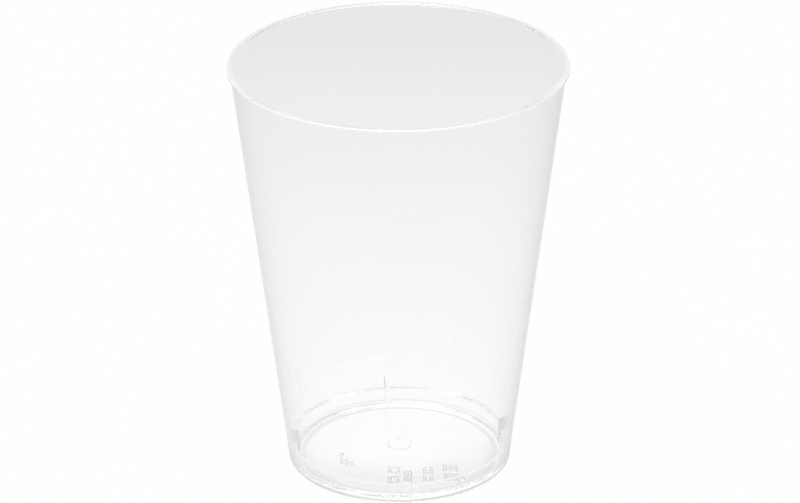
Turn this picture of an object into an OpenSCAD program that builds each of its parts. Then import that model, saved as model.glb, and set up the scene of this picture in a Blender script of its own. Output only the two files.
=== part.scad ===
// Clear plastic tumbler, moulded in one piece.
// The axis is Z, the foot stands on Z = 0, and the side with the fill line faces -Y.
// Lengths are in millimetres and angles in degrees.

/* [Cup] */
// Height over all, from the table to the top of the lip
cup_h = 111; // [95:0.5:140]
// Outer diameter of the lip
lip_d = 87.3; // [80:0.1:96]
// Outer diameter of the wall, carried straight down to the table
base_d = 58; // [52:0.5:64]
// Thickness of the wall, square to its face
wall_t = 0.95; // [0.7:0.05:1.3]

/* [Lip] */
// How far the lip stands out past the wall
lip_overhang = 0.7; // [0.25:0.05:1.2]
// Height of the lip
lip_h = 0.95; // [0.8:0.05:3]
// Radius of the lip's upper edges
lip_round = 0.45; // [0.1:0.05:0.5]
// Radius under the lip's outer edge
lip_under_round = 0.25; // [0.05:0.05:0.3]

/* [Foot] */
// Width of the foot ring at the table, before its edges are rounded
foot_w = 3.2; // [2:0.1:5]
// Radius of the foot's outer edge
foot_round = 1.25; // [0.3:0.05:1.5]
// Radius of the foot's inner edge
foot_inner_round = 0.2; // [0.05:0.05:0.3]

/* [Floor] */
// Height of the floor's upper side above the table, next to the wall
floor_h = 1.75; // [1.6:0.05:3]
// Thickness of the floor
floor_t = 1.2; // [0.8:0.05:1.4]
// Radius between the floor and the wall inside
floor_round = 1.55; // [0.5:0.05:1.8]
// Diameter of the raised middle of the floor
crown_d = 47.8; // [30:0.2:48]
// Rise of the floor's middle
crown_rise = 1.4; // [0.5:0.1:4]
// Diameter of the gate mark in the middle of the floor
gate_d = 6.4; // [3:0.1:12]
// How far the gate mark's pad stands up inside
gate_rise = 0.3; // [0.1:0.05:0.8]
// Depth of the gate mark's well underneath
gate_depth = 0.4; // [0.1:0.05:0.6]

/* [Shoulder and stacking ribs] */
// Height of the thick lower wall's shoulder above the table
shoulder_h = 5.75; // [4.5:0.05:6.5]
// How far the thick lower wall stands in from the wall above it
shoulder_w = 1.3; // [0.5:0.05:1.8]
// Fall of the shoulder from the wall to its inner edge
shoulder_fall = 0.35; // [0.1:0.05:0.8]
// Radius of the shoulder's inner edge
shoulder_round = 0.2; // [0.05:0.05:0.3]
// Number of stacking ribs
rib_n = 4; // [3:1:8]
// Thickness of a rib
rib_t = 0.9; // [0.6:0.05:2]
// How far a rib stands in from the thick lower wall
rib_w = 1.1; // [0.8:0.05:2.5]
// Slope of a rib's top, falling towards the axis
rib_slope = 15; // [0:1:30]
// Gap left between the walls of two cups stacked on the ribs
nest_gap = 0.18; // [0.08:0.01:0.6]

/* [Fill line] */
// Contents at the fill line, in millilitres
fill_ml = 300; // [150:10:380]
// Length of the fill line along the wall
fill_len = 16.5; // [6:0.5:40]
// Height of the raised line
fill_line_h = 0.5; // [0.3:0.1:1.5]
// How far the line stands out from the wall
fill_relief = 0.15; // [0.1:0.05:0.5]

/* [Hidden] */
$fn = 180;

// Colour of the clear plastic
clear = [0.90, 0.91, 0.93, 0.45];

// Straight pieces in each rounded edge, and in the raised middle of the floor
arc_steps = 6;
crown_steps = 10;

// The most of an edge that the rounding at one end of it may take
edge_share = 0.49;

lip_r = lip_d / 2;
base_r = base_d / 2;
crown_r = crown_d / 2;
gate_r = gate_d / 2;

// Growth of the wall's radius for each millimetre of height, and the wall's thickness measured level
draft = (lip_r - lip_overhang - base_r) / cup_h;
wall_across = wall_t * sqrt(1 + draft * draft);

// Radius of the wall's outside, its inside and the thick lower wall's inside at height z
function wall_r(z) = base_r + draft * z;
function bore_r(z) = wall_r(z) - wall_across;
function lower_r(z) = bore_r(z) - shoulder_w;

lip_z = cup_h - lip_h;
foot_r = base_r - foot_w;
under_z = floor_h - floor_t;
shoulder_z = shoulder_h - shoulder_fall;

// A second cup, let down into this one, stands on the ribs with its foot's edge at seat_r,
// when its wall is nest_gap away from this one.
nest_pitch = (wall_across + nest_gap) / draft;
seat_r = base_r - foot_round;
rib_r = lower_r(shoulder_z) - rib_w;

// Height of a rib's top at radius r
function rib_top(r) = nest_pitch + (r - seat_r) * tan(rib_slope);

// Volumes taken from the contents by the thick lower wall and the floor's raised middle
shoulder_mm3 = PI * (pow(bore_r(floor_h), 2) - pow(lower_r(floor_h), 2)) * (shoulder_z - floor_h);
crown_mm3 = PI * crown_rise * crown_r * crown_r / 2;

// Height at which the tapered bore holds fill_ml
fill_mm3 = fill_ml * 1000 + shoulder_mm3 + crown_mm3;
fill_r = pow(pow(bore_r(floor_h), 3) + 3 * draft * fill_mm3 / PI, 1 / 3);
fill_z = (fill_r - bore_r(0)) / draft;

function unit(v) = v / norm(v);
function turned(v, angle) = [
    v.x * cos(angle) - v.y * sin(angle),
    v.x * sin(angle) + v.y * cos(angle)
];

// Arc that rounds a corner, on a path that comes from one point and goes on to another
function round_corner(from, corner, to, radius) =
    let (
        back = unit(from - corner),
        ahead = unit(to - corner),
        half = acos(back * ahead) / 2,
        room = edge_share * min(norm(from - corner), norm(to - corner)),
        reach = min(radius / tan(half), room),
        centre = corner + unit(back + ahead) * reach / cos(half),
        spoke = corner + back * reach - centre,
        sweep = -sign(cross(back, ahead)) * (180 - 2 * half)
    )
    [for (i = [0 : arc_steps]) centre + turned(spoke, sweep * i / arc_steps)];

// Path through corners given as [radius from the axis, height, rounding]
function rounded(path) =
    let (
        points = [for (p = path) [p.x, p.y]],
        last = len(path) - 1
    )
    [
        for (i = [0 : last])
            each i == 0 || i == last
                ? [points[i]]
                : round_corner(points[i - 1], points[i], points[i + 1], path[i].z)
    ];

// Arched middle of one side of the floor, from the gate mark out to the crown's edge at height z
function crown(z) = [
    for (i = [0 : crown_steps])
        let (r = gate_r + (crown_r - gate_r) * i / crown_steps)
        [r, z + crown_rise * (1 - pow(r / crown_r, 2))]
];

function reversed(list) = [for (i = [len(list) - 1 : -1 : 0]) list[i]];

// Half section of the cup: along the underside, up the outside, over the lip and down the inside
module section() {
    underside = crown(under_z);
    topside = reversed(crown(floor_h));
    well_z = underside[0].y + gate_depth;
    pad_z = topside[crown_steps].y + gate_rise;
    body = rounded([
        [crown_r, under_z, 0],
        [foot_r, under_z, foot_inner_round],
        [foot_r, 0, foot_inner_round],
        [base_r, 0, foot_round],
        [wall_r(lip_z), lip_z, lip_under_round],
        [lip_r, lip_z, lip_under_round],
        [lip_r, cup_h, lip_round],
        [bore_r(cup_h), cup_h, lip_round],
        [bore_r(shoulder_h), shoulder_h, shoulder_round],
        [lower_r(shoulder_z), shoulder_z, shoulder_round],
        [lower_r(floor_h), floor_h, floor_round],
        [crown_r, floor_h, 0]
    ]);
    polygon(concat([[0, well_z], [gate_r, well_z]], underside, body, topside, [[gate_r, pad_z], [0, pad_z]]));
}

// Foot, floor, wall and lip in one turned form
module body() {
    color(clear)
        rotate_extrude()
            section();
}

// One stacking rib in the plane of its section, with its root inside the wall and the floor
module rib_outline() {
    root_z = floor_h - floor_t / 2;
    root_r = bore_r(root_z) + wall_across / 2;
    top_r = bore_r(nest_pitch) + wall_across / 2;
    polygon([[rib_r, root_z], [root_r, root_z], [top_r, rib_top(top_r)], [rib_r, rib_top(rib_r)]]);
}

module stacking_rib() {
    color(clear)
        rotate([90, 0, 0])
            linear_extrude(height = rib_t, center = true)
                rib_outline();
}

// Ribs spaced evenly round the floor, the first on the -Y side
module stacking_ribs() {
    for (i = [0 : rib_n - 1])
        rotate(i * 360 / rib_n - 90)
            stacking_rib();
}

// Raised line on the outside of the wall, level with fill_ml of contents
module fill_line() {
    low = fill_z - fill_line_h / 2;
    high = fill_z + fill_line_h / 2;
    depth = wall_across / 2;
    span = fill_len / wall_r(fill_z) * 180 / PI;
    color(clear)
        rotate(-90 - span / 2)
            rotate_extrude(angle = span)
                polygon([
                    [wall_r(low) - depth, low],
                    [wall_r(low) + fill_relief, low],
                    [wall_r(high) + fill_relief, high],
                    [wall_r(high) - depth, high]
                ]);
}

module cup() {
    union() {
        body();
        stacking_ribs();
        fill_line();
    }
}

cup();
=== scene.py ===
"""A clear plastic tumbler on a white table.

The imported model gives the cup's height and width. The cup is turned again here with finer
edges, rounded ribs and a clear plastic that bends light, in the same place and at the same size.
"""
import math

import bmesh
import bpy
from mathutils import Matrix, Vector
from mathutils.geometry import delaunay_2d_cdt


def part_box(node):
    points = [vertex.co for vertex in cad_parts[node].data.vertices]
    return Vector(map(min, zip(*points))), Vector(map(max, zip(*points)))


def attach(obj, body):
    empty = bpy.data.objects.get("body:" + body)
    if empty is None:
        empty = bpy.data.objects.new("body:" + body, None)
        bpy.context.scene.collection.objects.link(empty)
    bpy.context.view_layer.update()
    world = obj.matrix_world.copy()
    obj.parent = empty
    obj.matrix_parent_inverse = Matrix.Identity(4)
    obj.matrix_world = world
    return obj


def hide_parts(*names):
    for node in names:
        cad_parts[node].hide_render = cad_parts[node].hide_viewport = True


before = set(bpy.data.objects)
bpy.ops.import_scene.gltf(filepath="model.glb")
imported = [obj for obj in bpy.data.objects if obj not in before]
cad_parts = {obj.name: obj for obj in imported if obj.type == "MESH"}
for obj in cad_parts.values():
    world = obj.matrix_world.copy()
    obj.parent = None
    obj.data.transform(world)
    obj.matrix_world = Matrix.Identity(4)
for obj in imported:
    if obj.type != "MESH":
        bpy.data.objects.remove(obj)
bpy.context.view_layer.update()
node_low, node_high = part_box("cup")

MM = 0.001

# The cup over all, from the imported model. These sizes and all others down to the view's are in
# millimetres.
CUP_H = (node_high.z - node_low.z) / MM
LIP_R = (node_high.y - node_low.y) / 2 / MM

# Wall and lip. The wall's radius is carried straight down to the table.
BASE_R = 29.0
WALL_T = 0.95
LIP_OVERHANG = 0.7
LIP_H = 0.95
LIP_ROUND = 0.45
LIP_UNDER_ROUND = 0.25

# Foot ring, and the floor with its raised middle
FOOT_W = 3.2
FOOT_ROUND = 1.25
FOOT_INNER_ROUND = 0.2
FLOOR_H = 1.75
FLOOR_T = 1.2
FLOOR_ROUND = 1.55
CROWN_R = 23.9
CROWN_RISE = 1.4

# Gate mark in the floor's middle: a pad inside, and a well underneath whose edge slopes
GATE_R = 3.2
GATE_RISE = 0.3
GATE_DEPTH = 0.4
GATE_SLOPE = 0.3

# Shoulder of the thick lower wall, and the stacking ribs on it
SHOULDER_H = 5.75
SHOULDER_W = 1.3
SHOULDER_FALL = 0.35
SHOULDER_ROUND = 0.2
RIB_N = 4
RIB_T = 0.9
RIB_W = 1.1
RIB_SLOPE = math.radians(15)
RIB_ROUND = 0.25
NEST_GAP = 0.18

# Fill line, at the height that holds FILL_ML. Its arched profile is FILL_CREST times as high as its
# relief, and cut flat at the relief.
FILL_ML = 300
FILL_LEN = 16.5
FILL_LINE_H = 0.5
FILL_RELIEF = 0.03
FILL_CREST = 1.6

# Marks raised under the floor, with sloping edges, as rows of plain bars turned about the axis. Each row
# has its first bar's place across, the step and number of bars, the place towards -Y, and a bar's width
# and depth.
MARK_RELIEF = 0.2
MARK_SLOPE = 0.15
MARK_TURN = math.radians(-7.2)
MARK_ROWS = (
    (-15.0, 0, 1, 6.2, 0.6, 6.0),
    (-13.7, 0, 1, 8.6, 0.6, 3.4),
    (-12.4, 0, 1, 9.6, 0.6, 1.8),
    (-2.5, 2.2, 2, 13.4, 0.6, 3.2),
    (-1.4, 0, 1, 12.1, 2.0, 0.6),
    (-1.4, 0, 1, 14.8, 2.0, 0.6),
    (-2.5, 2.2, 2, 18.0, 0.6, 3.2),
    (-1.4, 0, 1, 16.6, 2.0, 0.6),
    (-1.4, 0, 1, 19.4, 2.0, 0.6),
    (1.6, 0.9, 2, 16.6, 0.7, 5.4),
    (6.5, 1.7, 2, 12.8, 0.6, 2.6),
    (7.3, 0, 1, 14.6, 2.2, 0.5),
    (6.5, 1.7, 2, 17.6, 0.6, 2.6),
    (11.8, 1.4, 3, 11.9, 0.7, 3.4),
    (12.1, 1.3, 3, 16.2, 0.7, 3.4),
    (16.0, 0, 1, 15.6, 0.7, 2.2),
)
MARKS = [(x + step * i, y, width, depth) for x, step, n, y, width, depth in MARK_ROWS for i in range(n)]

# Radii between which the underside is closed with the marks' outlines cut into it
MARK_RING = (10.0, 23.7)

# Fineness of the turned mesh: columns round it, straight pieces in each rounding and in the floor's arch,
# the height of a row on the wall, rows in the fill line, and pieces in the ribs' rounding
COLUMNS = 360
ARC_STEPS = 10
CROWN_STEPS = 16
WALL_ROW = 3.0
FILL_ROWS = 6
RIB_ROUND_STEPS = 3

# Bevel profile that is a round arc
ROUND_PROFILE = 0.5

# Width of the narrow rows that frame the sloping edge of the gate mark's well
GATE_EDGE = 0.15

# The most of an edge that the rounding at one end of it may take
EDGE_SHARE = 0.49

# Distance, or share of a stretch, at which two points count as one, and the finer distance at which the
# underside's points are welded
NEAR = 1e-4
WELD = 1e-5

# Angle between two faces from which their edge is sharp
SHARP_ANGLE = math.radians(32)

# The photograph's view: its distance, and its aim to the right of the axis and above the table
VIEW_AZIMUTH = math.radians(-7.2)
VIEW_ELEVATION = math.radians(24.627)
VIEW_ROLL = math.radians(0.173)
VIEW_DISTANCE = 1137.1
VIEW_AIM = (0.29, 58.5)
VIEW_LENS = 197.82
SENSOR = 36.0

# Nearest and furthest distance that the camera sees, in metres
VIEW_CLIP = (0.01, 20)

# Times that light may turn in the clear wall
LIGHT_BOUNCES = 1024

DRAFT = (LIP_R - LIP_OVERHANG - BASE_R) / CUP_H
WALL_ACROSS = WALL_T * math.hypot(1, DRAFT)


def wall_r(z):
    """Radius of the wall's outside at a height."""
    return BASE_R + DRAFT * z


def bore_r(z):
    """Radius of the wall's inside at a height."""
    return wall_r(z) - WALL_ACROSS


def lower_r(z):
    """Radius of the thick lower wall's inside at a height."""
    return bore_r(z) - SHOULDER_W


LIP_Z = CUP_H - LIP_H
FOOT_R = BASE_R - FOOT_W
UNDER_Z = FLOOR_H - FLOOR_T
SHOULDER_Z = SHOULDER_H - SHOULDER_FALL
NEST_PITCH = (WALL_ACROSS + NEST_GAP) / DRAFT
SEAT_R = BASE_R - FOOT_ROUND
RIB_R = lower_r(SHOULDER_Z) - RIB_W

# Columns of the mesh up the middle of each rib, the first on the -Y side
RIB_COLUMNS = [round(COLUMNS * k / RIB_N - COLUMNS / 4) % COLUMNS for k in range(RIB_N)]


def rib_top(r):
    """Height of a stacking rib's top at a radius."""
    return NEST_PITCH + (r - SEAT_R) * math.tan(RIB_SLOPE)


def fill_height():
    """Height at which the cup holds FILL_ML."""
    ring = math.pi * (bore_r(FLOOR_H) ** 2 - lower_r(FLOOR_H) ** 2) * (SHOULDER_Z - FLOOR_H)
    dome = math.pi * CROWN_RISE * CROWN_R**2 / 2
    volume = FILL_ML * 1000 + ring + dome
    radius = (bore_r(FLOOR_H) ** 3 + 3 * DRAFT * volume / math.pi) ** (1 / 3)
    return (radius - bore_r(0)) / DRAFT


FILL_Z = fill_height()


def round_corner(before, corner, after, radius):
    """Arc of points that rounds a corner of a path in the plane."""
    back = (before - corner).normalized()
    ahead = (after - corner).normalized()
    half = back.angle(ahead) / 2
    room = EDGE_SHARE * min((before - corner).length, (after - corner).length)
    reach = min(radius / math.tan(half), room)
    centre = corner + (back + ahead).normalized() * reach / math.cos(half)
    spoke = corner + back * reach - centre
    turn = -math.copysign(math.pi - 2 * half, back.cross(ahead))
    return [centre + Matrix.Rotation(turn * i / ARC_STEPS, 2) @ spoke for i in range(ARC_STEPS + 1)]


def rounded(corners):
    """Path through corners (radius from the axis, height, rounding), with its ends left sharp."""
    points = [Vector(c[:2]) for c in corners]
    path = [points[0]]
    for i in range(1, len(points) - 1):
        path += round_corner(points[i - 1], points[i], points[i + 1], corners[i][2])
    return path + [points[-1]]


def arch(r):
    """Rise of the floor's middle at a radius."""
    return CROWN_RISE * (1 - (r / CROWN_R) ** 2)


def crown(z, extra=()):
    """Arched middle of one side of the floor, from the gate mark out to the height z, with extra radii."""
    steps = {GATE_R + (CROWN_R - GATE_R) * i / CROWN_STEPS for i in range(CROWN_STEPS + 1)}
    return [Vector((r, z + arch(r))) for r in sorted(steps | set(extra))]


def rib_foot_on(path):
    """Point of the path's last stretch where it passes the ribs' inner edge."""
    for a, b in zip(path, path[1:]):
        if b.x < RIB_R <= a.x and a.y < SHOULDER_Z:
            return Vector((RIB_R, a.y + (b.y - a.y) * (RIB_R - a.x) / (b.x - a.x)))
    raise ValueError("the ribs stand clear of the floor's rounding")


def rib_head_on_wall():
    """Point where the ribs' sloping tops meet the wall."""
    slope = math.tan(RIB_SLOPE)
    z = (rib_top(0) + slope * bore_r(0)) / (1 - slope * DRAFT)
    return Vector((bore_r(z), z))


def with_stops(path, stops):
    """The path with the points of stops put in where they lie on it."""
    out = [path[0]]
    for a, b in zip(path, path[1:]):
        inside = []
        for s in stops:
            along = (s - a).dot(b - a) / (b - a).length_squared
            off = (s - a - (b - a) * along).length
            if NEAR < along < 1 - NEAR and off < NEAR:
                inside.append((along, s))
        out += [s for _, s in sorted(inside, key=lambda pair: pair[0])] + [b]
    return out


def section():
    """Half section of the cup, from the middle of its underside round the lip to the floor's middle."""
    body = rounded([
        (CROWN_R, UNDER_Z, 0),
        (FOOT_R, UNDER_Z, FOOT_INNER_ROUND),
        (FOOT_R, 0, FOOT_INNER_ROUND),
        (BASE_R, 0, FOOT_ROUND),
        (wall_r(LIP_Z), LIP_Z, LIP_UNDER_ROUND),
        (LIP_R, LIP_Z, LIP_UNDER_ROUND),
        (LIP_R, CUP_H, LIP_ROUND),
        (bore_r(CUP_H), CUP_H, LIP_ROUND),
        (bore_r(SHOULDER_H), SHOULDER_H, SHOULDER_ROUND),
        (lower_r(SHOULDER_Z), SHOULDER_Z, SHOULDER_ROUND),
        (lower_r(FLOOR_H), FLOOR_H, FLOOR_ROUND),
        (CROWN_R, FLOOR_H, 0),
    ])
    rib_foot, rib_head = rib_foot_on(body), rib_head_on_wall()
    rows = int(CUP_H / WALL_ROW)
    heights = [CUP_H * i / rows for i in range(1, rows)]
    fill_heights = [FILL_Z + FILL_LINE_H * (k / FILL_ROWS - 0.5) for k in range(FILL_ROWS + 1)]
    stops = [rib_foot, rib_head]
    stops += [Vector((wall_r(z), z)) for z in heights + fill_heights]
    stops += [Vector((bore_r(z), z)) for z in heights]
    underside = crown(UNDER_Z, (GATE_R + GATE_EDGE, *MARK_RING))
    topside = crown(FLOOR_H)[::-1]
    well_z = underside[0].y + GATE_DEPTH
    pad_z = topside[-1].y + GATE_RISE
    well = [Vector((GATE_R - inset, well_z)) for inset in (GATE_R, GATE_SLOPE + GATE_EDGE, GATE_SLOPE)]
    pad = [Vector((GATE_R, pad_z)), Vector((0, pad_z))]
    return well + underside + with_stops(body, stops)[1:-1] + topside + pad, rib_foot, rib_head


def column_azimuth(column):
    """Azimuth of a column of the mesh."""
    return 2 * math.pi * column / COLUMNS


def rib_azimuth(column, r):
    """Azimuth of a column in the ribs' rows, where the columns next to a rib's middle are on its sides."""
    for rib in RIB_COLUMNS:
        side = (column - rib + COLUMNS // 2) % COLUMNS - COLUMNS // 2
        if abs(side) == 1:
            return column_azimuth(rib) + side * math.asin(RIB_T / 2 / r)
    return column_azimuth(column)


def fill_rise(p, azimuth):
    """How far the fill line raises a point of the section at an azimuth."""
    from_front = abs((azimuth + 3 * math.pi / 2) % (2 * math.pi) - math.pi)
    if abs(p.x - wall_r(p.y)) > NEAR or from_front * wall_r(FILL_Z) > FILL_LEN / 2:
        return 0
    level = (p.y - FILL_Z) / (FILL_LINE_H / 2)
    return FILL_RELIEF * min(1, FILL_CREST * max(0, 1 - level**2))


def add_ring(mesh, p, in_ribs):
    """One point of the section, turned into a ring of vertices, or into one vertex on the axis."""
    if p.x == 0:
        return [mesh.verts.new((0, 0, p.y))]
    ring = []
    for column in range(COLUMNS):
        azimuth = rib_azimuth(column, p.x) if in_ribs else column_azimuth(column)
        r = p.x + fill_rise(p, azimuth)
        ring.append(mesh.verts.new((r * math.cos(azimuth), r * math.sin(azimuth), p.y)))
    return ring


def add_band(mesh, a, b, skipped):
    """Faces between two neighbouring rings, apart from the skipped columns."""
    for column in range(COLUMNS):
        if column in skipped:
            continue
        ahead = column + 1
        corners = [ring[i % len(ring)] for ring, i in ((a, column), (a, ahead), (b, ahead), (b, column))]
        mesh.faces.new(list(dict.fromkeys(corners)))


def mark_share(spot, margin=0):
    """Share of the marks' full relief at a place under the floor, from 0 beside them to 1 on them."""
    across, ahead = Matrix.Rotation(-MARK_TURN, 2) @ spot
    share = 0
    for x, y, width, depth in MARKS:
        inset = min(width / 2 - abs(across - x), depth / 2 - abs(-ahead - y)) + MARK_SLOPE + margin
        share = max(share, min(1, inset / MARK_SLOPE))
    return share


def add_marked_underside(mesh, rings, inner, outer, frosted):
    """Closes the underside between two of its rings, with the raised marks' outlines cut into it."""
    known = rings[inner] + rings[outer]
    edges = [(start + i, start + (i + 1) % COLUMNS) for start in (0, COLUMNS) for i in range(COLUMNS)]
    for ring in rings[inner + 1:outer]:
        known += [v for v in ring if mark_share(v.co.xy, MARK_SLOPE) == 0]
    points = [v.co.xy for v in known]
    for x, y, width, depth in MARKS:
        for margin in (0, MARK_SLOPE):
            edges += [(len(points) + i, len(points) + (i + 1) % 4) for i in range(4)]
            for i, j in ((-1, -1), (1, -1), (1, 1), (-1, 1)):
                corner = Vector((x + i * (width / 2 + margin), -y + j * (depth / 2 + margin)))
                points.append(Matrix.Rotation(MARK_TURN, 2) @ corner)
    spots, _, faces, origins, _, _ = delaunay_2d_cdt(points, edges, [], 0, WELD)
    verts = []
    for spot, origin in zip(spots, origins):
        old = [i for i in origin if i < len(known)]
        if old:
            verts.append(known[old[0]])
            continue
        share = mark_share(spot)
        vert = mesh.verts.new((spot.x, spot.y, UNDER_Z + arch(spot.length) - MARK_RELIEF * share))
        vert[frosted] = share
        verts.append(vert)
    hole = set(rings[inner])
    for face in faces:
        corners = [verts[i] for i in face]
        if not hole.issuperset(corners):
            mesh.faces.new(corners)


def add_rib(mesh, rings, first, last, rib):
    """Fills one rib's place in the inner wall and floor, and gives the edges to be rounded."""
    columns = [(rib + k) % COLUMNS for k in (-1, 0, 1)]
    feet = [rings[last][c] for c in columns]
    heads = [rings[first][c] for c in columns]
    tops = [mesh.verts.new((v.co.x, v.co.y, rib_top(RIB_R))) for v in feet]
    for k in (0, 1):
        mesh.faces.new((heads[k], heads[k + 1], tops[k + 1], tops[k]))
        mesh.faces.new((tops[k], tops[k + 1], feet[k + 1], feet[k]))
    for side in (0, 2):
        outline = [rings[row][columns[side]] for row in range(first, last + 1)] + [tops[side]]
        mesh.faces.new(outline if side == 0 else outline[::-1])
    ends = [(tops[side], end[side]) for side in (0, 2) for end in (heads, feet)]
    ends += [(tops[k], tops[k + 1]) for k in (0, 1)]
    return [mesh.edges.get(pair) for pair in ends]


def first_row(path, test):
    """Index of the path's first point that passes a test."""
    return next(i for i, p in enumerate(path) if test(p))


def turned_cup():
    """The cup's mesh: the section turned about Z, with the ribs built in and the marks and line raised."""
    path, rib_foot, rib_head = section()
    first, last = [first_row(path, lambda p: (p - end).length < NEAR) for end in (rib_head, rib_foot)]
    inner, outer = [first_row(path, lambda p: abs(p.x - r) < NEAR) for r in MARK_RING]
    mesh = bmesh.new()
    frosted = mesh.verts.layers.float.new("frosted")
    lip_painted_highlight = mesh.verts.layers.float.new("lip_painted_highlight")
    rings = [add_ring(mesh, p, first <= row <= last) for row, p in enumerate(path)]
    for row, (p, ring) in enumerate(zip(path, rings)):
        on_gate_edge = row < inner and GATE_R - GATE_SLOPE - NEAR < p.x < GATE_R + NEAR
        # The lip's outer rounding is marked for its painted highlight
        on_lip_highlight = p.x > LIP_R - LIP_ROUND * LIP_HIGHLIGHT_REACH and p.y > CUP_H - LIP_ROUND - NEAR
        for vert in ring:
            vert[frosted] = on_gate_edge
            vert[lip_painted_highlight] = on_lip_highlight

    add_marked_underside(mesh, rings, inner, outer, frosted)
    beside_ribs = {(rib + k) % COLUMNS for rib in RIB_COLUMNS for k in (-1, 0)}
    for row in range(len(path) - 1):
        if not inner <= row < outer:
            add_band(mesh, rings[row], rings[row + 1], beside_ribs if first <= row < last else ())
    edges = []
    for rib in RIB_COLUMNS:
        edges += add_rib(mesh, rings, first, last, rib)
    bmesh.ops.bevel(
        mesh,
        geom=edges,
        affect="EDGES",
        offset=RIB_ROUND,
        offset_type="OFFSET",
        segments=RIB_ROUND_STEPS,
        profile=ROUND_PROFILE,
    )
    bmesh.ops.dissolve_degenerate(mesh, dist=NEAR, edges=mesh.edges[:])
    loose = [v for v in mesh.verts if not v.link_faces]
    bmesh.ops.delete(mesh, geom=loose, context="VERTS")
    bmesh.ops.recalc_face_normals(mesh, faces=mesh.faces[:])
    return mesh


# Bending of light by the plastic
PLASTIC_IOR = 1.49

# Share of the side wall's outside that turns matte grey, growing with a power of the slant at which the
# face is seen: partly scatter, partly painted shade that darkens the wall towards its silhouettes. It
# fades out as the face tilts from upright, over a range given as sines.
EDGE_SHADE_GRAZING = 2.0
EDGE_SHADE_POWER = 4
EDGE_SHADE_WALL_TILT = (0.3, 0.6)

# Painted shade on the ribs' broad sides, as the share of their outside that turns matte grey, and the sine
# of the turn away from the axis from which a face is such a side
RIB_SIDE_SHADE = 0.6
RIB_SIDE = 0.7

# Share scattered by the frosted marks and the gate mark's edge, from outside and inside
HAZE_MARK = 0.22

# Painted highlight on the lip's outer rounding: the share of its outside that turns matte white, and how
# much of the rounding's width does so
LIP_HIGHLIGHT = 0.4
LIP_HIGHLIGHT_REACH = 0.8

# Colours that the plastic drifts between where it is clear, with the noise that drives the drift: its
# width in metres, its detail, and the two levels at which it gives those colours
CLEAR_TONES = ((0.9995, 0.9965, 0.998), (0.9965, 0.9985, 1.0))
DRIFT_WIDTH = 0.035
DRIFT_DETAIL = 0
DRIFT_RANGE = (0.35, 0.65)

# Grey of the plastic where it scatters all light, which also paints the shade at the wall's silhouettes
# and on the ribs' sides
HAZE_AND_SHADE_TONE = (0.81, 0.81, 0.825, 1)

# Slow waves left in the plastic by moulding: their width and height in metres, the detail of their noise,
# and the heights on the cup, in metres, over which they set in and die away
WAVE_WIDTH = 0.028
WAVE_HEIGHT = 0.00005
WAVE_DETAIL = 1
WAVE_FROM = (0.008, 0.02)
WAVE_TO = (0.095, 0.107)

# Roughness of the polish, which changes from patch to patch, the width of a patch in metres, and the
# detail of the noise that sets it
POLISH = (0.015, 0.035)
POLISH_PATCH = 0.012
POLISH_DETAIL = 2


def emptied_tree(block):
    """Node tree of a new material or world, with no nodes."""
    block.use_nodes = True
    block.node_tree.nodes.clear()
    return block.node_tree


def feed(tree, node, values):
    """Gives a node's inputs their values, each a number or another node's output."""
    for socket, value in zip(node.inputs, values):
        if isinstance(value, bpy.types.NodeSocket):
            tree.links.new(value, socket)
        else:
            socket.default_value = value


def calculate(tree, operation, *values):
    """Result of a math node."""
    node = tree.nodes.new("ShaderNodeMath")
    node.operation = operation
    feed(tree, node, values)
    return node.outputs["Value"]


def vector_math(tree, operation, *vectors):
    """A vector math node."""
    node = tree.nodes.new("ShaderNodeVectorMath")
    node.operation = operation
    feed(tree, node, vectors)
    return node


def part_of(tree, vector, axis):
    """The X, Y or Z of a vector."""
    node = tree.nodes.new("ShaderNodeSeparateXYZ")
    tree.links.new(vector, node.inputs["Vector"])
    return node.outputs[axis]


def map_range(tree, value, source, target):
    """A value carried over from one range to another, and held at its ends."""
    node = tree.nodes.new("ShaderNodeMapRange")
    for name, number in zip(("From Min", "From Max", "To Min", "To Max"), (*source, *target)):
        node.inputs[name].default_value = number
    tree.links.new(value, node.inputs["Value"])
    return node.outputs["Result"]


def noise(tree, spot, width, detail):
    """Noise over the cup, with features of a width in metres."""
    node = tree.nodes.new("ShaderNodeTexNoise")
    node.inputs["Scale"].default_value = 1 / width
    node.inputs["Detail"].default_value = detail
    tree.links.new(spot, node.inputs["Vector"])
    return node.outputs["Fac"]


def mesh_layer(tree, name):
    """Value of one of the mesh's float layers."""
    node = tree.nodes.new("ShaderNodeAttribute")
    node.attribute_name = name
    return node.outputs["Fac"]


def colour_ramp(tree, value, stops):
    """Colour that follows a value through stops, each a place from 0 to 1 and a colour."""
    node = tree.nodes.new("ShaderNodeValToRGB")
    elements = node.color_ramp.elements
    elements.remove(elements[-1])
    for i, (place, colour) in enumerate(stops):
        stop = elements[0] if i == 0 else elements.new(place)
        stop.position = place
        stop.color = (*colour, 1)
    tree.links.new(value, node.inputs["Fac"])
    return node.outputs["Color"]


def mix_shaders(tree, share, first, second):
    """Blend of two shaders, with the share that the second one takes."""
    node = tree.nodes.new("ShaderNodeMixShader")
    feed(tree, node, (share, first, second))
    return node.outputs["Shader"]


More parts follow.
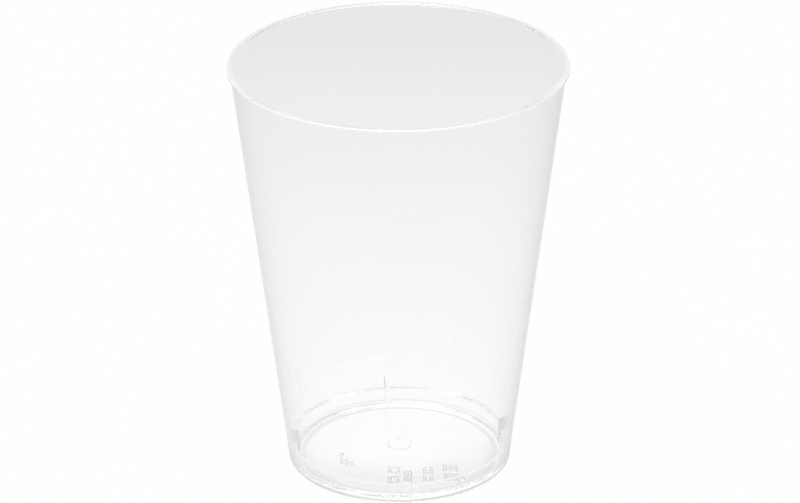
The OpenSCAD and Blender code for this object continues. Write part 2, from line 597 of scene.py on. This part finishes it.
def wall_haze_and_edge_shade(tree, spot, normal):
    """Share of the side wall's outside that turns matte grey: partly scatter, partly painted shade towards
    its silhouettes.
    """
    slant = tree.nodes.new("ShaderNodeLayerWeight").outputs["Facing"]
    grazing = calculate(tree, "MULTIPLY", calculate(tree, "POWER", slant, EDGE_SHADE_POWER), EDGE_SHADE_GRAZING)
    tilt = calculate(tree, "ABSOLUTE", part_of(tree, normal, "Z"))
    haze_and_shade = calculate(tree, "MINIMUM", grazing, 1)
    haze_and_shade = calculate(tree, "MULTIPLY", haze_and_shade, map_range(tree, tilt, EDGE_SHADE_WALL_TILT, (1, 0)))
    outward = vector_math(tree, "DOT_PRODUCT", spot, normal).outputs["Value"]
    return calculate(tree, "MULTIPLY", haze_and_shade, calculate(tree, "GREATER_THAN", outward, 0))


def rib_side_shade(tree, spot, normal):
    """Share of the ribs' broad sides that turns matte grey, as painted shade."""
    away = vector_math(tree, "NORMALIZE", spot).outputs["Vector"]
    across = vector_math(tree, "CROSS_PRODUCT", away, normal).outputs["Vector"]
    turn = calculate(tree, "ABSOLUTE", part_of(tree, across, "Z"))
    return calculate(tree, "MULTIPLY", calculate(tree, "GREATER_THAN", turn, RIB_SIDE), RIB_SIDE_SHADE)


def plastic_tone(tree, spot, haze_and_shade):
    """Colour of the plastic, which drifts slowly where it is clear and turns grey where it scatters or
    where shade is painted.
    """
    drift = noise(tree, spot, DRIFT_WIDTH, DRIFT_DETAIL)
    tone = tree.nodes.new("ShaderNodeMix")
    tone.data_type = "RGBA"
    tree.links.new(haze_and_shade, tone.inputs["Factor"])
    tree.links.new(colour_ramp(tree, drift, zip(DRIFT_RANGE, CLEAR_TONES)), tone.inputs["A"])
    tone.inputs["B"].default_value = HAZE_AND_SHADE_TONE
    return tone.outputs["Result"]


def wavy_normal(tree, spot):
    """Normal with the slow waves of the wall."""
    height = part_of(tree, spot, "Z")
    swell = noise(tree, spot, WAVE_WIDTH, WAVE_DETAIL)
    swell = calculate(tree, "MULTIPLY", swell, map_range(tree, height, WAVE_FROM, (0, 1)))
    swell = calculate(tree, "MULTIPLY", swell, map_range(tree, height, WAVE_TO, (1, 0)))
    bump = tree.nodes.new("ShaderNodeBump")
    bump.inputs["Distance"].default_value = WAVE_HEIGHT
    tree.links.new(swell, bump.inputs["Height"])
    return bump.outputs["Normal"]


def clear_plastic():
    """Clear moulded plastic: bends light and scatters a little at its faces, with painted shade towards
    the wall's silhouettes and on the ribs' sides, and a painted highlight on the lip.
    """
    material = bpy.data.materials.new("clear_plastic")
    tree = emptied_tree(material)
    place = tree.nodes.new("ShaderNodeTexCoord")
    spot, normal = place.outputs["Object"], place.outputs["Normal"]

    backfacing = tree.nodes.new("ShaderNodeNewGeometry").outputs["Backfacing"]
    outside = calculate(tree, "SUBTRACT", 1, backfacing)
    # The wall towards its silhouettes and the ribs' sides turn partly matte grey: painted shade, with some
    # real scatter on the wall
    haze_and_shade = calculate(tree, "MAXIMUM", wall_haze_and_edge_shade(tree, spot, normal), rib_side_shade(tree, spot, normal))
    haze_and_shade = calculate(tree, "MULTIPLY", haze_and_shade, outside)
    frost = calculate(tree, "MULTIPLY", mesh_layer(tree, "frosted"), HAZE_MARK)
    haze_and_shade = calculate(tree, "MAXIMUM", haze_and_shade, frost)
    # Painted highlight: the lip's outer rounding turns partly matte white
    lip_highlight = calculate(tree, "MULTIPLY", mesh_layer(tree, "lip_painted_highlight"), LIP_HIGHLIGHT)
    lip_highlight = calculate(tree, "MULTIPLY", lip_highlight, outside)
    clear = calculate(tree, "SUBTRACT", 1, calculate(tree, "MAXIMUM", haze_and_shade, lip_highlight))
    polish = map_range(tree, noise(tree, spot, POLISH_PATCH, POLISH_DETAIL), (0, 1), POLISH)

    shader = tree.nodes.new("ShaderNodeBsdfPrincipled")
    shader.inputs["IOR"].default_value = PLASTIC_IOR
    tree.links.new(plastic_tone(tree, spot, haze_and_shade), shader.inputs["Base Color"])
    tree.links.new(clear, shader.inputs["Transmission Weight"])
    tree.links.new(polish, shader.inputs["Roughness"])
    tree.links.new(wavy_normal(tree, spot), shader.inputs["Normal"])
    output = tree.nodes.new("ShaderNodeOutputMaterial")
    tree.links.new(shader.outputs["BSDF"], output.inputs["Surface"])
    return material


def make_cup():
    """The visual cup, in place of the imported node."""
    mesh = turned_cup()
    for v in mesh.verts:
        v.co *= MM
    data = bpy.data.meshes.new("tumbler")
    mesh.to_mesh(data)
    mesh.free()
    data.shade_smooth()
    data.set_sharp_from_angle(angle=SHARP_ANGLE)
    data.materials.append(clear_plastic())
    cup = bpy.data.objects.new("tumbler", data)
    bpy.context.scene.collection.objects.link(cup)
    weighted = cup.modifiers.new("normals", "WEIGHTED_NORMAL")
    weighted.keep_sharp = True
    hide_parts("cup")
    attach(cup, "root")


# Round table: its radius in metres, the sides of its outline, and the gap in metres that keeps its face
# apart from the foot's
TABLE_R = 4.0
TABLE_SIDES = 96
FOOT_CLEARANCE = 0.0001

# The table's own grey, and the share of plain white over it where the camera sees it
TABLE_GREY = (0.6, 0.6, 0.6, 1)
PLAIN_SHARE = 0.98
WHITE = (1, 1, 1, 1)

# Brightness of the table seen through the plastic, by distance from the cup's axis in metres, with a tint
# that grows to its full strength at a distance
TABLE_GLOW = (
    (0, 1.0), (0.032, 0.98), (0.1, 0.945), (0.15, 0.922), (0.2, 0.884),
    (0.25, 0.864), (0.3, 0.815), (0.55, 0.795), (2, 0.795),
)
TABLE_TINT = (0.998, 0.990, 1.0)
TINT_FROM = 0.1

# Painted shade in the table's glow by the foot ring's inner and outer edge and in a ring just outside the
# foot, by distance from the axis in metres
RING_SHADE = (
    (0, 1.0), (0.0246, 1.0), (0.0251, 0.8), (0.0256, 0.8), (0.0262, 0.98),
    (0.0284, 1.0), (0.0288, 0.75), (0.0293, 0.75), (0.0297, 1.0),
    (0.0301, 1.0), (0.0306, 0.85), (0.0313, 0.85), (0.0319, 1.0), (0.06, 1.0),
)

# Painted shade in the table's glow under the floor on the -Y side, by distance from the axis in metres,
# and the places along Y where it is full and where it ends
FRONT_SHADE = (
    (0, 1.0), (0.007, 1.0), (0.0115, 0.97), (0.0145, 0.93), (0.0222, 0.91),
    (0.0236, 0.76), (0.0248, 0.76), (0.0257, 0.95), (0.03, 1.0), (0.06, 1.0),
)
FRONT_FROM = (-0.012, 0.004)

# Brightness of the room seen in the plastic, by height above the horizon in degrees
ROOM_GLOW = ((0, 1.0), (30, 1.0), (36, 0.7), (60, 0.65), (75, 0.9), (90, 1.0))

# Soft box overhead: its side, place and aim in metres, and its power in watts
BOX_SIDE = 1.2
BOX_PLACE = (-0.3, -0.2, 1.6)
BOX_AIM = (0, 0, 0.05)
BOX_POWER = 12


def by_distance(tree, distance, levels, tint=(1, 1, 1)):
    """Brightness that follows the distance through levels, with a tint that grows with it."""
    reach = levels[-1][0]
    stops = []
    for at, level in levels:
        share = min(1, at / TINT_FROM)
        stops.append((at / reach, [level * (1 + (t - 1) * share) for t in tint]))
    return colour_ramp(tree, calculate(tree, "DIVIDE", distance, reach), stops)


def table_glow(tree):
    """The table as the plastic shows it: a glow with painted shade by the foot and under the floor's -Y
    side.
    """
    spot = tree.nodes.new("ShaderNodeTexCoord").outputs["Object"]
    distance = vector_math(tree, "LENGTH", spot).outputs["Value"]
    front = map_range(tree, part_of(tree, spot, "Y"), FRONT_FROM, (1, 0))
    shade = calculate(tree, "SUBTRACT", 1, by_distance(tree, distance, FRONT_SHADE))
    shade = calculate(tree, "MULTIPLY", shade, front)
    level = calculate(tree, "SUBTRACT", 1, shade)
    level = calculate(tree, "MULTIPLY", level, by_distance(tree, distance, RING_SHADE))
    shaded = vector_math(tree, "SCALE", by_distance(tree, distance, TABLE_GLOW, TABLE_TINT))
    tree.links.new(level, shaded.inputs["Scale"])
    glow = tree.nodes.new("ShaderNodeEmission")
    tree.links.new(shaded.outputs["Vector"], glow.inputs["Color"])
    return glow.outputs["Emission"]


def table_white():
    """White of the table: nearly plain to the camera, matte to other light, glowing to the plastic."""
    material = bpy.data.materials.new("table_white")
    tree = emptied_tree(material)
    matte = tree.nodes.new("ShaderNodeBsdfDiffuse")
    matte.inputs["Color"].default_value = TABLE_GREY
    white = tree.nodes.new("ShaderNodeEmission")
    white.inputs["Color"].default_value = WHITE
    path = tree.nodes.new("ShaderNodeLightPath").outputs
    plain = mix_shaders(tree, PLAIN_SHARE, matte.outputs["BSDF"], white.outputs["Emission"])
    seen = mix_shaders(tree, path["Is Camera Ray"], matte.outputs["BSDF"], plain)
    through = calculate(tree, "MAXIMUM", path["Is Transmission Ray"], path["Is Glossy Ray"])
    output = tree.nodes.new("ShaderNodeOutputMaterial")
    tree.links.new(mix_shaders(tree, through, seen, table_glow(tree)), output.inputs["Surface"])
    return material


def make_floor():
    """Round white table under the cup."""
    data = bpy.data.meshes.new("table")
    mesh = bmesh.new()
    bmesh.ops.create_circle(mesh, cap_ends=True, radius=TABLE_R, segments=TABLE_SIDES)
    mesh.to_mesh(data)
    mesh.free()
    data.materials.append(table_white())
    floor = bpy.data.objects.new("table", data)
    floor.location.z = -FOOT_CLEARANCE
    bpy.context.scene.collection.objects.link(floor)


def make_world():
    """Even soft surroundings, plain white where the camera looks past the table."""
    world = bpy.data.worlds.new("studio")
    bpy.context.scene.world = world
    tree = emptied_tree(world)
    direction = tree.nodes.new("ShaderNodeTexCoord").outputs["Generated"]
    stops = [(math.sin(math.radians(height)), [level] * 3) for height, level in ROOM_GLOW]
    room = tree.nodes.new("ShaderNodeBackground")
    tree.links.new(colour_ramp(tree, part_of(tree, direction, "Z"), stops), room.inputs["Color"])
    white = tree.nodes.new("ShaderNodeBackground")
    white.inputs["Color"].default_value = WHITE
    camera_ray = tree.nodes.new("ShaderNodeLightPath").outputs["Is Camera Ray"]
    mixed = mix_shaders(tree, camera_ray, room.outputs["Background"], white.outputs["Background"])
    output = tree.nodes.new("ShaderNodeOutputWorld")
    tree.links.new(mixed, output.inputs["Surface"])


def make_lights():
    """One broad soft box overhead."""
    light = bpy.data.lights.new("soft_box", "AREA")
    light.size = BOX_SIDE
    light.energy = BOX_POWER
    box = bpy.data.objects.new("soft_box", light)
    box.location = BOX_PLACE
    box.rotation_euler = (Vector(BOX_AIM) - box.location).to_track_quat("-Z", "Y").to_euler()
    bpy.context.scene.collection.objects.link(box)


def make_camera():
    """The photograph's view."""
    data = bpy.data.cameras.new("camera")
    data.sensor_width = SENSOR
    data.lens = VIEW_LENS
    data.clip_start, data.clip_end = VIEW_CLIP
    camera = bpy.data.objects.new("camera", data)
    back = Vector((
        math.sin(VIEW_AZIMUTH) * math.cos(VIEW_ELEVATION),
        -math.cos(VIEW_AZIMUTH) * math.cos(VIEW_ELEVATION),
        math.sin(VIEW_ELEVATION),
    ))
    right = Vector((math.cos(VIEW_AZIMUTH), math.sin(VIEW_AZIMUTH), 0))
    up = back.cross(right)
    aim = right * VIEW_AIM[0] + Vector((0, 0, VIEW_AIM[1]))
    turn = Matrix.Rotation(-VIEW_ROLL, 3, back)
    axes = Matrix((turn @ right, turn @ up, back)).transposed().to_4x4()
    camera.matrix_world = Matrix.Translation((aim + back * VIEW_DISTANCE) * MM) @ axes
    bpy.context.scene.collection.objects.link(camera)
    bpy.context.scene.camera = camera


make_camera()
make_cup()
make_floor()
make_world()
make_lights()
bpy.context.scene.view_settings.view_transform = "Standard"
cycles = bpy.context.scene.cycles
cycles.max_bounces = cycles.transmission_bounces = cycles.glossy_bounces = LIGHT_BOUNCES
